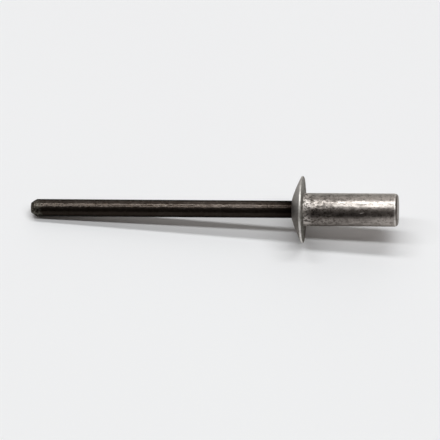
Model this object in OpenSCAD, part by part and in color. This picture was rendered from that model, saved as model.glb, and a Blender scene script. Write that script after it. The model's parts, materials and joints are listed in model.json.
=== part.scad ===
// A closed-end blind rivet before it is set: a drawn cup with a low dome head, and a steel
// mandrel whose own head is trapped inside. It lies on a table, on its rim and on the mandrel.
// Along its own axis the rivet has its zero at the underside of the dome head. The closed end
// lies on the positive side, and the point of the mandrel on the negative side.

/* [Shank] */
// Diameter of the shank
shank_d = 3.25; // [3:0.05:4.8]
// Length of the shank, from the underside of the dome head to the closed end
shank_len = 9.3; // [7:0.05:20]
// Thickness of the closed end
floor_t = 1; // [0.6:0.05:2]
// Rounding of the closed end's edge
end_round = 0.35; // [0.1:0.01:0.5]

/* [Dome head] */
// Diameter of the dome head
head_d = 6.55; // [5.8:0.05:10]
// Height of the dome head above its underside
head_h = 1.1; // [0.7:0.02:2]
// Thickness of the rim
rim_w = 0.2; // [0.16:0.01:0.4]
// Rounding of the rim's two edges
rim_round = 0.05; // [0.02:0.01:0.07]
// Diameter of the flat land round the mandrel, where the dome starts
land_d = 2.2; // [1.9:0.05:2.8]
// Radius of the dome's crown, seen in section
dome_round = 13; // [6:1:30]
// Fillet between the shank and the underside of the dome head
seat_round = 0.12; // [0.05:0.01:0.2]
// Chamfer round the hole that the mandrel leaves by
entry_chamfer = 0.05; // [0.02:0.01:0.08]

/* [Mandrel] */
// Diameter of the mandrel
mandrel_d = 1.72; // [1.5:0.02:1.76]
// Length of the mandrel that stands out of the dome head
reach = 25.95; // [20:0.05:40]
// Length of the tapered point
point_len = 0.36; // [0.2:0.02:0.8]
// Diameter of the tapered point at its end
point_d = 1.16; // [1:0.02:1.4]
// Distance between the two pinched flats at the end of the point
pinch_w = 0.95; // [0.6:0.05:1.1]
// Angle between a pinched flat and the axis
pinch_angle = 34; // [20:1:45]
// Turn of the pinched flats about the axis, from upright
pinch_turn = 38; // [0:1:180]

/* [Mandrel head] */
// Diameter of the mandrel's head
plug_d = 2.06; // [1.9:0.02:2.2]
// Length of the round part of the mandrel's head
plug_len = 0.9; // [0.5:0.05:1.5]
// Slope of the underside of the mandrel's head, measured from the axis
plug_slope = 45; // [30:5:60]
// Chamfer round the end of the mandrel's head
plug_chamfer = 0.12; // [0.05:0.01:0.2]
// Diameter of the break neck
neck_d = 1.2; // [1:0.05:1.4]
// Width of the groove that forms the break neck
neck_w = 0.5; // [0.3:0.05:0.8]
// Width of the groove's floor
neck_floor = 0.1; // [0.05:0.05:0.2]
// Distance between the groove and the underside of the mandrel's head
neck_gap = 0.25; // [0.1:0.05:0.6]

/* [Fits] */
// Gap between the mandrel and the swaged bore, all round
bore_gap = 0.01; // [0.005:0.005:0.03]
// Gap between the mandrel's head and the cup, all round
plug_gap = 0.03; // [0.01:0.01:0.06]

/* [Hidden] */
$fn = 96;

// Straight steps that each arc of an outline is made of
arc_steps = 5;

shank_r = shank_d / 2;
head_r = head_d / 2;
land_r = land_d / 2;
mandrel_r = mandrel_d / 2;
point_r = point_d / 2;
plug_r = plug_d / 2;
neck_r = neck_d / 2;
bore_r = mandrel_r + bore_gap;
cup_r = plug_r + plug_gap;

// The end of the mandrel's point, and the edge behind its taper
point_u = -head_h - reach;
point_back_u = point_u + point_len;

// The crown of the dome starts at the edge of the land and runs smoothly into the rounded edge
// of the rim
land_edge = [land_r, -head_h];
rim_centre = [head_r - rim_round, rim_round - rim_w];
rim_way = rim_centre - land_edge;
rim_run = norm(rim_way);
crown_short = pow(dome_round, 2) - pow(dome_round - rim_round, 2);
crown_turn = acos((crown_short + pow(rim_run, 2)) / (2 * dome_round * rim_run));
crown_from = atan2(rim_way[1], rim_way[0]) + crown_turn - 180;
crown_centre = land_edge - dome_round * [cos(crown_from), sin(crown_from)];
crown_to = atan2(rim_centre[1] - crown_centre[1], rim_centre[0] - crown_centre[0]);

// The mandrel's head is seated on the floor of the cup, and the swaged shoulder behind it is
// parallel to its underside
floor_u = shank_len - floor_t;
plug_back_u = floor_u - plug_len;
plug_cone_len = (plug_r - mandrel_r) / tan(plug_slope);
shoulder_u = plug_back_u - plug_gap * tan(plug_slope / 2);
shoulder_len = (cup_r - bore_r) / tan(plug_slope);
neck_u = plug_back_u - plug_cone_len - neck_gap - neck_w / 2;

// The table touches the rim of the dome head and the edge behind the mandrel's taper
rest_run = rim_centre[1] - point_back_u;
rest_rise = rim_centre[0] - mandrel_r;
rest_tilt = atan2(rest_rise, rest_run) + asin(rim_round / norm([rest_run, rest_rise]));
rest_lift = mandrel_r * cos(rest_tilt) - point_back_u * sin(rest_tilt);

// The lowest and highest X of the tilted rivet, which has its middle over the origin
low_x = point_u * cos(rest_tilt) - point_r * sin(rest_tilt);
high_x = (shank_len - end_round) * cos(rest_tilt) + (shank_r - end_round) * sin(rest_tilt) + end_round;
middle_x = (low_x + high_x) / 2;

// Points along an arc from one angle to another, without the first, where the arc sets off
function arc(centre, radius, from, to) = [
    for (i = [1:arc_steps])
        let (angle = from + (to - from) * i / arc_steps)
        centre + radius * [cos(angle), sin(angle)]
];

// Lays the rivet's axis along X and tips it on to the table
module at_rest() {
    translate([-middle_x, 0, rest_lift])
        rotate([0, -rest_tilt, 0])
            rotate([0, 90, 0])
                children();
}

// Outside of the cup, as radius and place along the axis
module cup_outline() {
    polygon(concat(
        [[0, -head_h], land_edge],
        arc(crown_centre, dome_round, crown_from, crown_to),
        arc(rim_centre, rim_round, crown_to, 0),
        [[head_r, -rim_round]],
        arc([head_r - rim_round, -rim_round], rim_round, 0, 90),
        [[shank_r + seat_round, 0]],
        arc([shank_r + seat_round, seat_round], seat_round, 270, 180),
        [[shank_r, shank_len - end_round]],
        arc([shank_r - end_round, shank_len - end_round], end_round, 0, 90),
        [[0, shank_len]]
    ));
}

// Inside of the cup: chamfered entry, swaged bore, shoulder and room for the mandrel's head
module bore_outline() {
    polygon([
        [0, -head_h - entry_chamfer],
        [bore_r + 2 * entry_chamfer, -head_h - entry_chamfer],
        [bore_r, entry_chamfer - head_h],
        [bore_r, shoulder_u - shoulder_len],
        [cup_r, shoulder_u],
        [cup_r, floor_u],
        [0, floor_u]
    ]);
}

// The turned and upset form of the mandrel, before its point is pinched
module mandrel_outline() {
    polygon([
        [0, point_u],
        [point_r, point_u],
        [mandrel_r, point_back_u],
        [mandrel_r, neck_u - neck_w / 2],
        [neck_r, neck_u - neck_floor / 2],
        [neck_r, neck_u + neck_floor / 2],
        [mandrel_r, neck_u + neck_w / 2],
        [mandrel_r, plug_back_u - plug_cone_len],
        [plug_r, plug_back_u],
        [plug_r, floor_u - plug_chamfer],
        [plug_r - plug_chamfer, floor_u],
        [0, floor_u]
    ]);
}

// What the pinching tool takes off one side of the point
module pinch() {
    translate([0, pinch_w / 2, point_u])
        rotate([-pinch_angle, 0, 0])
            translate([-mandrel_d, 0, -mandrel_d])
                cube([2 * mandrel_d, mandrel_d, 4 * mandrel_d]);
}

module rivet_body() {
    color("silver")
        at_rest()
            rotate_extrude()
                difference() {
                    cup_outline();
                    bore_outline();
                }
}

module mandrel() {
    color("#2b2622")
        at_rest()
            difference() {
                rotate_extrude()
                    mandrel_outline();
                for (side = [0, 180])
                    rotate([0, 0, pinch_turn + side])
                        pinch();
            }
}

rivet_body();
mandrel();
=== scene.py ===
"""Looks of a closed-end blind rivet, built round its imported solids.

Two detailed meshes stand for the two solids: a drawn aluminium cup and a blackened steel mandrel.
They are turned from the same sizes as the solids, in millimetres along the rivet's own axis, which
has its zero at the underside of the dome head and runs towards the closed end. The rivet lies on a
white table, under two long soft lights, with a pale wall behind it.
"""

import json
import math

import bpy
from mathutils import Matrix, Vector, noise


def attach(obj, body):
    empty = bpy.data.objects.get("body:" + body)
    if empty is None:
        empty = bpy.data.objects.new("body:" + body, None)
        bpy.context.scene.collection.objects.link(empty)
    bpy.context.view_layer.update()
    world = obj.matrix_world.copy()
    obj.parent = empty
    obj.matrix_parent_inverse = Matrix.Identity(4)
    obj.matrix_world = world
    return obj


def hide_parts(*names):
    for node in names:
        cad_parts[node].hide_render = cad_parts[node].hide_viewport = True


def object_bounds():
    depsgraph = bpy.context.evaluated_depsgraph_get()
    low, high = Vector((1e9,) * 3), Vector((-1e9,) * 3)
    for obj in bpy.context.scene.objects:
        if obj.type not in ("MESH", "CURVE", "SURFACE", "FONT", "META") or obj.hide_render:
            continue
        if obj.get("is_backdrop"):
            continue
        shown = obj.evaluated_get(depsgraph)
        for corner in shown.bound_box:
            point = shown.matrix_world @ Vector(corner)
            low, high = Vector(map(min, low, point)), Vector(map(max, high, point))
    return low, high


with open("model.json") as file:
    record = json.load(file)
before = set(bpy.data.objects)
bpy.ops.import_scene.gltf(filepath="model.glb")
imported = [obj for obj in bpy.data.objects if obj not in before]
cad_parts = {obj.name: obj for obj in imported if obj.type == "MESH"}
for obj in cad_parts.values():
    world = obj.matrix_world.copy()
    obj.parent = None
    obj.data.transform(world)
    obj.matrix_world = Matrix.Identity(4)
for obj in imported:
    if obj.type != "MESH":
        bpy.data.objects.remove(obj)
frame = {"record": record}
cad_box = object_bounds()

MM = 0.001

# Sizes of the cup, as in the solids
SHANK_R = 1.625
SHANK_LEN = 9.3
FLOOR_T = 1.0
END_ROUND = 0.35
HEAD_R = 3.275
HEAD_H = 1.1
RIM_W = 0.2
RIM_ROUND = 0.05
LAND_R = 1.1
DOME_ROUND = 13.0
SEAT_ROUND = 0.12
ENTRY_CHAMFER = 0.05

# Sizes of the mandrel, as in the solids
MANDREL_R = 0.86
REACH = 25.95
POINT_LEN = 0.36
POINT_R = 0.58
PINCH_W = 0.95
PINCH_ANGLE = 34
PINCH_TURN = 38
PLUG_R = 1.03
PLUG_LEN = 0.9
PLUG_SLOPE = 45
PLUG_CHAMFER = 0.12
NECK_R = 0.6
NECK_W = 0.5
NECK_FLOOR = 0.1
NECK_GAP = 0.25
BORE_GAP = 0.01
PLUG_GAP = 0.03

# Radii and places that follow from the sizes
BORE_R = MANDREL_R + BORE_GAP
CUP_R = PLUG_R + PLUG_GAP
ROUND_U = SHANK_LEN - END_ROUND
POINT_U = -HEAD_H - REACH
POINT_BACK_U = POINT_U + POINT_LEN
FLOOR_U = SHANK_LEN - FLOOR_T
PLUG_BACK_U = FLOOR_U - PLUG_LEN
PLUG_CONE = (PLUG_R - MANDREL_R) / math.tan(math.radians(PLUG_SLOPE))
SHOULDER_U = PLUG_BACK_U - PLUG_GAP * math.tan(math.radians(PLUG_SLOPE / 2))
SHOULDER_LEN = (CUP_R - BORE_R) / math.tan(math.radians(PLUG_SLOPE))
NECK_U = PLUG_BACK_U - PLUG_CONE - NECK_GAP - NECK_W / 2

# Points round each mesh, and the angle in degrees that makes an edge sharp
CUP_SIDES = 240
MANDREL_SIDES = 96
SHARP_ANGLE = 30

# Relief of the cup: depths and the run of the head's ripples in millimetres, and the heights of
# the noise above which a dent or a pit starts
WAVE_DEPTH = 0.006
RIPPLE_DEPTH = 0.0035
HEAD_RIPPLE_DEPTH = 0.004
HEAD_RIPPLE_RUN = 1.6
DENT_DEPTH = 0.02
DENT_START = 0.72
PIT_DEPTH = 0.03
PIT_START = 0.74

# Relief of the mandrel, as depths in millimetres
DRAWN_DEPTH = 0.003
GRAIN_DEPTH = 0.002

# Depths in millimetres of the finest relief, which only the materials show
CUP_BUMP = 0.034
MANDREL_BUMP = 0.012

# How far the looks of the dome side fade out at the underside, and those of the rim on the dome
UNDER_BLUR = 0.02
RIM_BLUR = 0.04

# Colours of the shank and its closed end
SHANK_DULL = (0.17, 0.149, 0.134)
SHANK_BRIGHT = (0.475, 0.43, 0.397)
# Painted light on the far side of the shank, and painted shade on its near side and end face
SHANK_FAR_PAINTED_LIGHT = (0.5, 0.49, 0.46)
SHANK_SHADE = (0.07, 0.06, 0.054)
# Painted highlight on the seat next to the head
SEAT_PAINTED_HIGHLIGHT = (0.85, 0.79, 0.74)
# Painted highlight on the closed end's edge, and a painted dark reflection in the line behind it
END_EDGE_PAINTED_HIGHLIGHT = (0.85, 0.81, 0.77)
END_LINE_PAINTED_DARK = (0.05, 0.043, 0.038)

# Colours of the dome head
DOME_LOW = (0.23, 0.214, 0.198)
# Painted light: the dome's colour is lighter towards its top
DOME_PAINTED_LIGHT_TOP = (0.43, 0.415, 0.4)
DOME_DULL = (0.2, 0.185, 0.17)
RIM_GREY = (0.64, 0.62, 0.58)
# Painted highlight on the rim's near side
RIM_NEAR_PAINTED_HIGHLIGHT = (0.8, 0.775, 0.74)
UNDERSIDE = (0.44, 0.42, 0.385)

# Colours of the marks on the cup, and the tint of its sheen
PIT_DARK = (0.04, 0.034, 0.028)
NICK_BRIGHT = (0.6, 0.56, 0.53)
DIRT = (0.056, 0.05, 0.038)
CUP_SHEEN = (0.72, 0.7, 0.67, 1.0)

# The bright nick on the shank: its place and size, and its turn in radians
NICK_PLACE = (-1.045, -1.245, 5.84)
NICK_SIZE = (0.06, 0.12, 0.3)
NICK_TURN = (0.0, -0.25, 0.0)

# Colours of the mandrel
OXIDE_DARK = (0.034, 0.0255, 0.0195)
OXIDE_LIGHT = (0.091, 0.076, 0.066)
# Painted shade on the mandrel's near side
MANDREL_NEAR_PAINTED_SHADE = (0.01, 0.007, 0.005)
# Darker towards the head and towards the point
MANDREL_DARKER_AT_HEAD = (0.007, 0.0045, 0.0035)
MANDREL_DARKER_AT_POINT = (0.008, 0.006, 0.005)
BARE_STEEL = (0.12, 0.116, 0.098)
NO_SHEEN = (0.0, 0.0, 0.0, 1.0)

# The scuffed stretch of bare steel behind the point's taper, from where it starts to fade
SCUFF_FADE = 0.1
SCUFF_END = 0.9

# Half the table's width in metres, and its two whites
TABLE_HALF = 1.5
TABLE_DULL = (0.88, 0.865, 0.873)
TABLE_WHITE = (0.9, 0.9, 0.9)

# Distance of the lights from the rivet in metres, and their colour
LIGHT_DISTANCE = 0.5
LIGHT_COLOUR = (0.977, 1.005, 1.018)

# Brightness of the room at angles in degrees, from the camera's horizon over the top to the wall
# behind the rivet, with the tints of the room and of that wall
ROOM = [
    (0, 0.07), (46, 0.07), (58, 0.17), (70, 0.12), (80, 0.03), (108, 0.06),
    (120, 0.62), (150, 0.77), (180, 0.32),
]
WALL_START = 120
ROOM_TINT = (1.07, 0.98, 0.93)
WALL_TINT = (1.02, 1.0, 0.98)

# Colours of the room's left and right sides, below and above
SIDE_LOW = (0.37, 0.345, 0.32)
SIDE_HIGH = (0.07, 0.062, 0.056)

# The camera, fitted to the photograph: its angles in degrees, its distance in metres, the point
# over the table that it looks at and that point's shifts in millimetres, and its lens in pixels
CAMERA_HEIGHT = 52.0
CAMERA_SIDE = -4.62
CAMERA_DISTANCE = 0.30
AIM_HEIGHT = 2.5
AIM_RIGHT = 0.579
AIM_UP = -1.115
FOCAL_PIXELS = 3048
PHOTO_PIXELS = 440
SENSOR_WIDTH = 36


# Where the rivet lies

def rivet_pose():
    """Place of the rivet's zero in metres, and the turn about Y that lays its axis along +X."""
    seat = next(m for m in frame["record"]["mounts"] if m["name"] == "head_seat")
    rise = math.asin(seat["axis"][2])
    return Vector(seat["pos_m"]), math.pi / 2 - rise


ZERO, TURN = rivet_pose()
TO_TABLE = Matrix.Translation(ZERO) @ Matrix.Rotation(TURN, 4, "Y") @ Matrix.Scale(MM, 4)


# Outlines, as (radius, place along the axis)

def straight(start, end, step):
    """Points from start up to, but without, end."""
    count = max(1, round(math.dist(start, end) / step))
    return [
        (start[0] + (end[0] - start[0]) * i / count, start[1] + (end[1] - start[1]) * i / count)
        for i in range(count)
    ]


def bend(centre, radius, first, last, count):
    """Points along an arc between two angles in degrees, both ends included."""
    points = []
    for i in range(count + 1):
        angle = math.radians(first + (last - first) * i / count)
        points.append((centre[0] + radius * math.cos(angle), centre[1] + radius * math.sin(angle)))
    return points


def crown_arc(land, rim):
    """Centre of the dome's crown and its two angles in degrees, from the land to the rim's rounding."""
    across, up = rim[0] - land[0], rim[1] - land[1]
    run = math.hypot(across, up)
    short = DOME_ROUND ** 2 - (DOME_ROUND - RIM_ROUND) ** 2
    first = math.atan2(up, across) + math.acos((short + run ** 2) / (2 * DOME_ROUND * run)) - math.pi
    centre = (land[0] - DOME_ROUND * math.cos(first), land[1] - DOME_ROUND * math.sin(first))
    last = math.atan2(rim[1] - centre[1], rim[0] - centre[0])
    return centre, math.degrees(first), math.degrees(last)


def cup_inside():
    """From the middle of the cup's floor along the bore to its chamfered entry."""
    shoulder = (BORE_R, SHOULDER_U - SHOULDER_LEN)
    entry = (BORE_R, ENTRY_CHAMFER - HEAD_H)
    rounded = 0.4 * ENTRY_CHAMFER
    return [
        *straight((0, FLOOR_U), (CUP_R, FLOOR_U), step=0.2),
        *straight((CUP_R, FLOOR_U), (CUP_R, SHOULDER_U), step=0.3),
        *straight((CUP_R, SHOULDER_U), shoulder, step=0.1),
        *straight(shoulder, entry, step=0.5),
        entry,
        (BORE_R + rounded, rounded - HEAD_H),
    ]


def cup_outside():
    """From the entry over the dome head, round its rim and back along the shank to the closed end."""
    land = (LAND_R, -HEAD_H)
    rim = (HEAD_R - RIM_ROUND, RIM_ROUND - RIM_W)
    centre, first, last = crown_arc(land, rim)
    lip = (BORE_R + ENTRY_CHAMFER, -HEAD_H)
    crown = bend(centre, DOME_ROUND, first, last, count=50)
    rim_front = bend(rim, RIM_ROUND, last, 0, count=8)
    rim_back = bend((HEAD_R - RIM_ROUND, -RIM_ROUND), RIM_ROUND, 0, 90, count=6)
    fillet = bend((SHANK_R + SEAT_ROUND, SEAT_ROUND), SEAT_ROUND, 270, 180, count=8)
    end = bend((SHANK_R - END_ROUND, ROUND_U), END_ROUND, 0, 90, count=12)
    return [
        *straight(lip, land, step=0.03),
        *crown[:-1],
        *rim_front,
        *rim_back[:-1],
        *straight(rim_back[-1], fillet[0], step=0.06),
        *fillet[:-1],
        *straight(fillet[-1], end[0], step=0.05),
        *end[:-1],
        *straight(end[-1], (0, SHANK_LEN), step=0.07),
        (0, SHANK_LEN),
    ]


def mandrel_outside():
    """From the middle of the point's end face to where the mandrel enters the dome head."""
    point = (POINT_R, POINT_U)
    back = (MANDREL_R, POINT_BACK_U)
    return [
        *straight((0, POINT_U), point, step=0.05),
        *straight(point, back, step=0.03),
        *straight(back, (MANDREL_R, -HEAD_H), step=0.065),
    ]


def mandrel_inside():
    """From the dome head over the break neck to the middle of the mandrel head's end face."""
    groove = (MANDREL_R, NECK_U - NECK_W / 2)
    groove_end = (MANDREL_R, NECK_U + NECK_W / 2)
    neck = (NECK_R, NECK_U - NECK_FLOOR / 2)
    neck_end = (NECK_R, NECK_U + NECK_FLOOR / 2)
    cone = (MANDREL_R, PLUG_BACK_U - PLUG_CONE)
    plug = (PLUG_R, PLUG_BACK_U)
    plug_end = (PLUG_R, FLOOR_U - PLUG_CHAMFER)
    face = (PLUG_R - PLUG_CHAMFER, FLOOR_U)
    return [
        *straight((MANDREL_R, -HEAD_H), groove, step=0.5),
        *straight(groove, neck, step=0.1),
        neck,
        *straight(neck_end, groove_end, step=0.1),
        *straight(groove_end, cone, step=0.2),
        *straight(cone, plug, step=0.1),
        *straight(plug, plug_end, step=0.2),
        *straight(plug_end, face, step=0.1),
        *straight(face, (0, FLOOR_U), step=0.3),
        (0, FLOOR_U),
    ]


# Meshes

def hills(place, per_mm, stretch=1.0, shift=(0, 0, 0)):
    """Smooth noise from 0 to 1, drawn out along the axis by stretch. Another shift gives other hills."""
    x, y, u = (p + s for p, s in zip(place, shift))
    return 0.5 + 0.5 * noise.noise(Vector((x * per_mm, y * per_mm, u * per_mm / stretch)))


def turned(name, outline, around, shape):
    """A closed mesh of revolution. shape() may move its points, given their place and their normal."""
    rings = []
    verts = []
    for k, (radius, u) in enumerate(outline):
        before, after = outline[max(k - 1, 0)], outline[min(k + 1, len(outline) - 1)]
        along = Vector((after[0] - before[0], after[1] - before[1])).normalized()
        out_r, out_u = along.y, -along.x
        if radius == 0:
            rings.append([len(verts)])
            verts.append(shape(k, (0.0, 0.0, u), (0.0, 0.0, out_u)))
            continue
        rings.append(list(range(len(verts), len(verts) + around)))
        for i in range(around):
            angle = math.tau * (i + 0.5) / around
            c, s = math.cos(angle), math.sin(angle)
            verts.append(shape(k, (radius * c, radius * s, u), (out_r * c, out_r * s, out_u)))
    faces = []
    for a, b in zip(rings, rings[1:]):
        for i in range(around):
            j = (i + 1) % around
            if len(a) == 1:
                faces.append((a[0], b[j], b[i]))
            elif len(b) == 1:
                faces.append((a[i], a[j], b[0]))
            else:
                faces.append((a[i], a[j], b[j], b[i]))
    mesh = bpy.data.meshes.new(name)
    mesh.from_pydata([TO_TABLE @ Vector(v) for v in verts], [], faces)
    mesh.validate()
    mesh.update()
    mesh.shade_smooth()
    mesh.set_sharp_from_angle(angle=math.radians(SHARP_ANGLE))
    piece = bpy.data.objects.new(name, mesh)
    bpy.context.scene.collection.objects.link(piece)
    return piece


def cup_relief(place):
    """How far the tumbled surface of the cup lies inside its true form."""
    u = place[2]
    near_head = math.exp(-u / HEAD_RIPPLE_RUN) if u > UNDER_BLUR else 0.0
    waves = WAVE_DEPTH * hills(place, per_mm=0.45)
    ripples = (RIPPLE_DEPTH + HEAD_RIPPLE_DEPTH * near_head) * hills(place, per_mm=2.4, stretch=1.6)
    dents = DENT_DEPTH * max(0.0, hills(place, per_mm=1.3, shift=(9, 0, 0)) - DENT_START)
    pits = PIT_DEPTH * max(0.0, hills(place, per_mm=3.2, shift=(0, 5, 0)) - PIT_START)
    return waves + ripples + dents + pits


def make_cup():
    """The aluminium cup, with relief on its outside only."""
    inside, outside = cup_inside(), cup_outside()
    skin = len(inside)

    def shape(k, place, normal):
        if k < skin:
            return place
        depth = cup_relief(place)
        return tuple(p - depth * n for p, n in zip(place, normal))

    return turned("aluminium_body", inside + outside, CUP_SIDES, shape)


def make_mandrel():
    """The steel mandrel, with relief and a pinched point on the part that stands out of the head."""
    outside, inside = mandrel_outside(), mandrel_inside()
    skin = len(outside)
    lean = math.radians(PINCH_ANGLE)
    turn = math.radians(PINCH_TURN)
    aside = Vector((-math.sin(turn), math.cos(turn), 0))

    def shape(k, place, normal):
        if k >= skin:
            return place
        depth = DRAWN_DEPTH * hills(place, per_mm=1.1, stretch=3.0) + GRAIN_DEPTH * hills(place, per_mm=4.0)
        place = Vector(place) - depth * Vector(normal)
        limit = PINCH_W / 2 + (place.z - POINT_U) * math.tan(lean)
        across = place.dot(aside)
        if abs(across) > limit:
            place -= aside * math.copysign(abs(across) - limit, across)
        return tuple(place)

    return turned("steel_mandrel", outside + inside, MANDREL_SIDES, shape)


# Materials

class Nodes:
    """Short calls for building a node tree."""

    def __init__(self, tree):
        self.tree = tree
        tree.nodes.clear()

    def add(self, kind, inputs=None, **settings):
        """One node, with links or values for its inputs."""
        node = self.tree.nodes.new(kind)
        for key, value in settings.items():
            setattr(node, key, value)
        for key, value in (inputs or {}).items():
            socket = node.inputs[key]
            if isinstance(value, bpy.types.NodeSocket):
                self.tree.links.new(value, socket)
            else:
                socket.default_value = value
        return node

    def noise(self, vector, per_unit, detail, rough=0.55):
        """Soft noise round 0.5, with about this many hills per unit of the vector."""
        made = self.add("ShaderNodeTexNoise", {
            "Vector": vector, "Scale": per_unit, "Detail": detail, "Roughness": rough})
        return made.outputs["Fac"]

    def remap(self, value, low, high, to_low=0.0, to_high=1.0):
        """Runs evenly from to_low to to_high while the value runs from low to high, and stays there."""
        return self.add("ShaderNodeMapRange", {
            "Value": value, "From Min": low, "From Max": high, "To Min": to_low, "To Max": to_high,
        }, clamp=True).outputs["Result"]

    def math(self, operation, a, b=0.0):
        """One operation on two values, or on the first where it takes no second."""
        return self.add("ShaderNodeMath", {0: a, 1: b}, operation=operation).outputs[0]

    def plus(self, a, b):
        return self.math("ADD", a, b)

    def minus(self, a, b):
        return self.math("SUBTRACT", a, b)

    def times(self, a, b):
        return self.math("MULTIPLY", a, b)

    def weigh(self, *parts):
        """The sum of values that each come with a weight."""
        total = self.times(*parts[-1])
        for value, weight in reversed(parts[:-1]):
            total = self.plus(self.times(value, weight), total)
        return total

    def zone(self, value, start, full, fade, end):
        """One between full and fade, and zero before start and after end."""
        return self.times(self.remap(value, start, full), self.remap(value, fade, end, 1.0, 0.0))

    def mix(self, factor, a, b):
        """Colour a where the factor is zero, and colour b where it is one."""
        made = self.add("ShaderNodeMix", {"Factor": factor}, data_type="RGBA")
        for index, value in ((6, a), (7, b)):
            if isinstance(value, bpy.types.NodeSocket):
                self.tree.links.new(value, made.inputs[index])
            else:
                made.inputs[index].default_value = (*value, 1.0)
        return made.outputs[2]

    def stretched(self, vector, stretch):
        """The same vector with its patterns drawn out along Z."""
        return self.add("ShaderNodeMapping", {
            "Vector": vector, "Scale": (1.0, 1.0, 1.0 / stretch)}).outputs[0]

    def local(self, vector, place, turn, size):
        """The vector as seen from a place of its own, with its own turn and size."""
        return self.add("ShaderNodeMapping", {
            "Vector": vector, "Location": place, "Rotation": turn, "Scale": size,
        }, vector_type="TEXTURE").outputs[0]

    def rivet_mm(self):
        """Millimetres in the rivet's own axes, with Z along it."""
        place = self.add("ShaderNodeTexCoord").outputs["Object"]
        return self.local(place, ZERO, (0.0, TURN, 0.0), (MM, MM, MM))

    def bump(self, height, depth_mm):
        """A surface direction with small bumps, this deep where the height is one."""
        return self.add("ShaderNodeBump", {
            "Height": height, "Strength": 1.0, "Distance": depth_mm * MM}).outputs[0]

    def surface(self, inputs):
        """The material's one shader, as its output."""
        shader = self.add("ShaderNodeBsdfPrincipled", inputs)
        self.add("ShaderNodeOutputMaterial", {"Surface": shader.outputs[0]})


def closed_end(*steps):
    """Places along the axis, counted from where the rounding of the closed end starts."""
    return [ROUND_U + step for step in steps]


class CupNodes(Nodes):
    """Nodes with the places and noises that all looks of the cup share.

    Down is away from the top of the rivet, aside is away from the camera, and along runs towards
    the closed end, all from the rivet's zero in millimetres.
    """

    def __init__(self, tree):
        super().__init__(tree)
        self.mm = self.rivet_mm()
        self.down, self.aside, self.along = self.add("ShaderNodeSeparateXYZ", {0: self.mm}).outputs[:3]
        self.broad = self.noise(self.mm, per_unit=0.8, detail=2.0)
        self.streaks = self.noise(self.stretched(self.mm, 5.0), per_unit=7.0, detail=2.0, rough=0.6)
        self.dents = self.noise(self.stretched(self.mm, 1.7), per_unit=5.0, detail=2.5, rough=0.6)
        self.near_head = self.remap(self.along, 0.8, 4.2, 1.0, 0.0)
        self.head = self.remap(self.along, -UNDER_BLUR, 0.0, 1.0, 0.0)
        self.seat = self.zone(self.along, UNDER_BLUR, SEAT_ROUND, 0.3, 0.9)
        self.under = self.zone(self.along, -UNDER_BLUR, 0.0, 0.03, SEAT_ROUND)
        self.end_edge = self.zone(self.along, *closed_end(0.0, 0.05, 0.08, 0.18))


def material(name):
    """An empty material that is built from nodes."""
    made = bpy.data.materials.new(name)
    made.use_nodes = True
    return made


def cup_tone(n):
    """Mottling of the cup: fine streaks, broad clouds and blotches, a little lighter at the closed end."""
    blotches = n.noise(n.stretched(n.mm, 1.4), per_unit=2.4, detail=2.5, rough=0.6)
    tone = n.weigh((n.streaks, 0.3), (n.broad, 0.2), (blotches, 0.5))
    return n.plus(tone, n.remap(n.along, 3.5, 8.0, 0.0, 0.1))


def shank_colour(n, tone):
    """Mottled shank with painted light on its far side, painted shade on its near side, and a painted
    highlight at the seat.
    """
    colour = n.mix(n.remap(tone, 0.38, 0.64), SHANK_DULL, SHANK_BRIGHT)
    # Painted light: the far side is paler.
    colour = n.mix(n.remap(n.aside, 0.1, 0.7, 0.0, 0.35), colour, SHANK_FAR_PAINTED_LIGHT)
    # Painted shade on the near side, deeper above and weaker towards the closed end.
    ragged_aside = n.plus(n.aside, n.times(n.broad, 0.5))
    shade = n.remap(ragged_aside, -0.7, -1.15, 0.0, 0.52)
    deeper_above = n.remap(n.down, -0.42, -0.66, 0.0, 0.7)
    shade = n.plus(shade, n.times(shade, deeper_above))
    shade = n.times(shade, n.remap(n.along, 5.0, 8.5, 1.0, 0.5))
    colour = n.mix(shade, colour, SHANK_SHADE)
    # Painted highlight on the seat next to the head.
    return n.mix(n.times(n.seat, 0.7), colour, SEAT_PAINTED_HIGHLIGHT)


def end_colour(n, colour):
    """Closed end: a painted highlight on its edge, a painted dark reflection line behind it and an end face
    darkened with painted shade.
    """
    # Painted highlight on the edge, a painted dark reflection in the line behind it, and painted shade on
    # the end face.
    line = n.zone(n.along, *closed_end(0.19, 0.23, 0.28, 0.31))
    face = n.remap(n.along, *closed_end(0.3, 0.34), 0.0, 0.66)
    colour = n.mix(n.times(n.end_edge, 0.6), colour, END_EDGE_PAINTED_HIGHLIGHT)
    colour = n.mix(n.times(line, 0.75), colour, END_LINE_PAINTED_DARK)
    return n.mix(face, colour, SHANK_SHADE)


def head_colour(n, tone, colour):
    """Dome head with a painted lighter top, and a pale rim with a painted highlight on its near side."""
    # Painted light: the dome is lighter towards its top.
    dome = n.mix(n.remap(n.down, -1.5, -2.9), DOME_LOW, DOME_PAINTED_LIGHT_TOP)
    dome = n.mix(n.remap(tone, 0.4, 0.6, 0.35, 0.0), dome, DOME_DULL)
    colour = n.mix(n.head, colour, dome)
    band = n.times(n.remap(n.along, -RIM_W - RIM_BLUR, -RIM_W), n.head)
    band = n.times(band, n.remap(n.broad, 0.4, 0.6, 0.75, 1.0))
    # Painted highlight: the rim band is paler and stronger towards its near side.
    band = n.times(band, n.remap(n.aside, -0.9, 0.2, 1.0, 0.8))
    return n.mix(band, colour, n.mix(n.remap(n.aside, -2.3, -2.8), RIM_GREY, RIM_NEAR_PAINTED_HIGHLIGHT))


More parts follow.
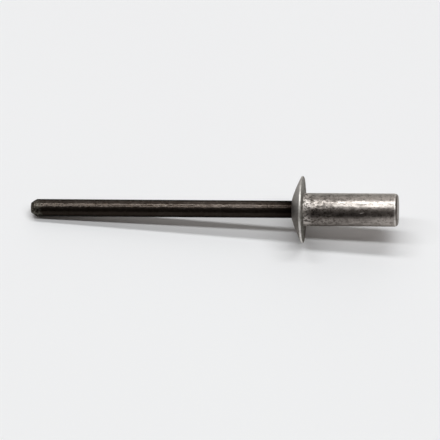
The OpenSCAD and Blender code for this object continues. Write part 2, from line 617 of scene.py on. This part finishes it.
def pitted_colour(n, colour):
    """Small dark pits, most of them near the head and few on the dome."""
    grains = n.noise(n.stretched(n.mm, 1.3), per_unit=5.2, detail=1.0, rough=0.6)
    pits = n.remap(n.plus(grains, n.times(n.near_head, 0.05)), 0.58, 0.63)
    near_head = n.remap(n.near_head, 0.0, 1.0, 0.4, 0.85)
    off_dome = n.minus(1.0, n.times(n.head, 0.75))
    return n.mix(n.times(pits, n.times(near_head, off_dome)), colour, PIT_DARK)


def nick_zone(n):
    """One in the middle of the nick, running down to zero round it."""
    nick = n.local(n.mm, NICK_PLACE, NICK_TURN, NICK_SIZE)
    off_centre = n.add("ShaderNodeVectorMath", {0: nick}, operation="LENGTH").outputs[1]
    return n.remap(off_centre, 0.5, 1.0, 1.0, 0.0)


def dirt_zone(n):
    """Specks of dirt in the corner between shank and head, a little denser below."""
    specks = n.noise(n.mm, per_unit=3.0, detail=5.0, rough=0.68)
    specks = n.plus(specks, n.remap(n.down, -1.9, 0.1, 0.0, 0.1))
    return n.times(n.under, n.remap(specks, 0.41, 0.6, 0.12, 0.97))


def cup_roughness(n, nick, dirt):
    """Smooth shank, with a duller head, seat, end edge, nick and dirt."""
    rough = n.remap(n.dents, 0.35, 0.65, 0.26, 0.36)
    rough = n.plus(rough, n.weigh((dirt, 0.65), (n.plus(n.head, nick), 0.2)))
    return n.plus(rough, n.times(n.plus(n.seat, n.end_edge), 0.12))


def cup_height(n):
    """Height of the fine relief: strong next to the head, weak at the closed end and on the dome."""
    height = n.weigh((n.streaks, 0.4), (n.dents, 0.6))
    strength = n.minus(n.remap(n.near_head, 0.0, 1.0, 0.38, 1.3), n.times(n.head, 1.1))
    return n.times(height, strength)


def aluminium():
    """Tumbled aluminium: mottled grey, with fine streaks, dark pits, dirt in the corner of the head, and
    painted light, shade and highlights.
    """
    made = material("tumbled_aluminium")
    n = CupNodes(made.node_tree)
    nick = nick_zone(n)
    dirt = dirt_zone(n)
    tone = cup_tone(n)
    colour = shank_colour(n, tone)
    colour = end_colour(n, colour)
    colour = head_colour(n, tone, colour)
    colour = pitted_colour(n, colour)
    colour = n.mix(nick, colour, NICK_BRIGHT)
    colour = n.mix(n.under, colour, UNDERSIDE)
    colour = n.mix(dirt, colour, DIRT)
    n.surface({
        "Base Color": colour, "Metallic": n.minus(1.0, dirt), "Roughness": cup_roughness(n, nick, dirt),
        "Normal": n.bump(cup_height(n), CUP_BUMP), "Specular IOR Level": 0.3, "Specular Tint": CUP_SHEEN})
    return made


def blackened_steel():
    """Steel wire under a thin black-brown oxide, grainy, with bare grey metal at the scuffed point, painted
    shade on its near side, and darker towards the head and the point.
    """
    made = material("blackened_steel")
    n = Nodes(made.node_tree)
    mm = n.rivet_mm()
    aside, along = n.add("ShaderNodeSeparateXYZ", {0: mm}).outputs[1:3]
    patches = n.noise(n.stretched(mm, 2.5), per_unit=1.6, detail=3.0, rough=0.6)
    grain = n.noise(n.stretched(mm, 1.6), per_unit=5.0, detail=2.0, rough=0.6)
    fleck = n.weigh((patches, 0.4), (grain, 0.6))
    colour = n.mix(n.remap(fleck, 0.36, 0.64), OXIDE_DARK, OXIDE_LIGHT)
    # Painted shade on the near side.
    colour = n.mix(n.remap(aside, -0.4, -0.62, 0.0, 0.75), colour, MANDREL_NEAR_PAINTED_SHADE)
    # Darker towards the head, and a little towards the point.
    colour = n.mix(n.remap(along, -3.9, -1.3, 0.0, 0.96), colour, MANDREL_DARKER_AT_HEAD)
    colour = n.mix(n.remap(along, -25.0, -12.0, 0.25, 0.0), colour, MANDREL_DARKER_AT_POINT)
    near_point = n.remap(along, POINT_BACK_U + SCUFF_FADE, POINT_BACK_U + SCUFF_END, 1.0, 0.0)
    worn_off = n.remap(n.noise(mm, per_unit=4.5, detail=2.0, rough=0.6), 0.42, 0.58)
    colour = n.mix(n.times(near_point, worn_off), colour, BARE_STEEL)
    rough = n.plus(n.remap(grain, 0.3, 0.7, 0.17, 0.29), n.times(near_point, 0.15))
    n.surface({
        "Base Color": colour, "Metallic": 0.78, "Roughness": rough, "Normal": n.bump(grain, MANDREL_BUMP),
        "Specular IOR Level": 0.1, "Specular Tint": NO_SHEEN})
    return made


def table_white():
    """Matt white with very faint clouds."""
    made = material("table_white")
    n = Nodes(made.node_tree)
    place = n.add("ShaderNodeTexCoord").outputs["Object"]
    colour = n.mix(n.noise(place, per_unit=12.0, detail=2.0), TABLE_DULL, TABLE_WHITE)
    n.surface({"Base Color": colour, "Roughness": 0.6, "Specular IOR Level": 0.2})
    return made


# Table, lights and camera

def make_table():
    """A plain square table with its top at zero height."""
    mesh = bpy.data.meshes.new("table")
    corners = [(x * TABLE_HALF, y * TABLE_HALF, 0) for x, y in ((-1, -1), (1, -1), (1, 1), (-1, 1))]
    mesh.from_pydata(corners, [], [(0, 1, 2, 3)])
    table = bpy.data.objects.new("table", mesh)
    bpy.context.scene.collection.objects.link(table)
    table.data.materials.append(table_white())
    table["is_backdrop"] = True


def strip_light(name, height_deg, radiance, length_deg, width_deg):
    """A long soft light over the table, parallel to X, at an angle counted from the camera's horizon."""
    up = math.radians(height_deg)
    lamp = bpy.data.lights.new(name, "AREA")
    lamp.shape = "RECTANGLE"
    lamp.size = 2 * LIGHT_DISTANCE * math.tan(math.radians(length_deg / 2))
    lamp.size_y = 2 * LIGHT_DISTANCE * math.tan(math.radians(width_deg / 2))
    lamp.energy = radiance * math.pi * lamp.size * lamp.size_y
    lamp.color = LIGHT_COLOUR
    light = bpy.data.objects.new(name, lamp)
    lift = Matrix.Translation((0, 0, LIGHT_DISTANCE))
    light.matrix_world = Matrix.Rotation(math.pi / 2 - up, 4, "X") @ lift
    bpy.context.scene.collection.objects.link(light)


def make_world():
    """Pale wall behind, darker room in front and above, and a dim side at the left and at the right."""
    world = bpy.data.worlds.new("room")
    world.use_nodes = True
    bpy.context.scene.world = world
    n = Nodes(world.node_tree)
    way = n.add("ShaderNodeTexCoord").outputs["Generated"]
    across, away, up = n.add("ShaderNodeSeparateXYZ", {0: way}).outputs[:3]
    over = n.math("ARCTAN2", up, n.times(away, -1.0))
    ramp = n.add("ShaderNodeValToRGB", {0: n.remap(over, 0.0, math.pi)})
    bar = ramp.color_ramp
    while len(bar.elements) < len(ROOM):
        bar.elements.new(0.5)
    for element, (degrees, level) in zip(bar.elements, ROOM):
        tint = ROOM_TINT if degrees < WALL_START else WALL_TINT
        element.position = degrees / 180
        element.color = (*(level * part for part in tint), 1)
    low = n.remap(up, 0.55, 0.75, 1.0, 0.0)
    sides = n.times(n.remap(n.math("ABSOLUTE", across), 0.25, 0.5), low)
    side_colour = n.mix(n.remap(up, 0.15, 0.3), SIDE_LOW, SIDE_HIGH)
    room = n.mix(sides, ramp.outputs[0], side_colour)
    background = n.add("ShaderNodeBackground", {"Color": room, "Strength": 1.0})
    n.add("ShaderNodeOutputWorld", {"Surface": background.outputs[0]})


def make_camera():
    """The photograph's view, from above and a little to the left."""
    height, side = math.radians(CAMERA_HEIGHT), math.radians(CAMERA_SIDE)
    ahead = math.cos(height)
    forward = Vector((math.sin(side) * ahead, math.cos(side) * ahead, -math.sin(height)))
    right = forward.cross(Vector((0, 0, 1))).normalized()
    up = right.cross(forward)
    target = Vector((0, 0, AIM_HEIGHT * MM)) + right * AIM_RIGHT * MM + up * AIM_UP * MM
    camera = bpy.data.cameras.new("camera")
    camera.sensor_width = SENSOR_WIDTH
    camera.lens = FOCAL_PIXELS / PHOTO_PIXELS * SENSOR_WIDTH
    camera.clip_start = 0.01
    camera.clip_end = 10
    seen = bpy.data.objects.new("camera", camera)
    turn = Matrix((right, up, -forward)).transposed().to_4x4()
    seen.matrix_world = Matrix.Translation(target - forward * CAMERA_DISTANCE) @ turn
    bpy.context.scene.collection.objects.link(seen)
    bpy.context.scene.camera = seen


body = make_cup()
body.data.materials.append(aluminium())
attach(body, "root")
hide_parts("rivet_body")

pin = make_mandrel()
pin.data.materials.append(blackened_steel())
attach(pin, "root")
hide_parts("mandrel")

make_table()
strip_light("strip_front", height_deg=80.0, radiance=10.7, length_deg=84, width_deg=5.4)
strip_light("strip_back", height_deg=103.2, radiance=12.6, length_deg=56, width_deg=6.5)
make_world()
make_camera()
bpy.context.scene.view_settings.view_transform = "Standard"

[[list(corner) for corner in box] for box in (cad_box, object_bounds())]
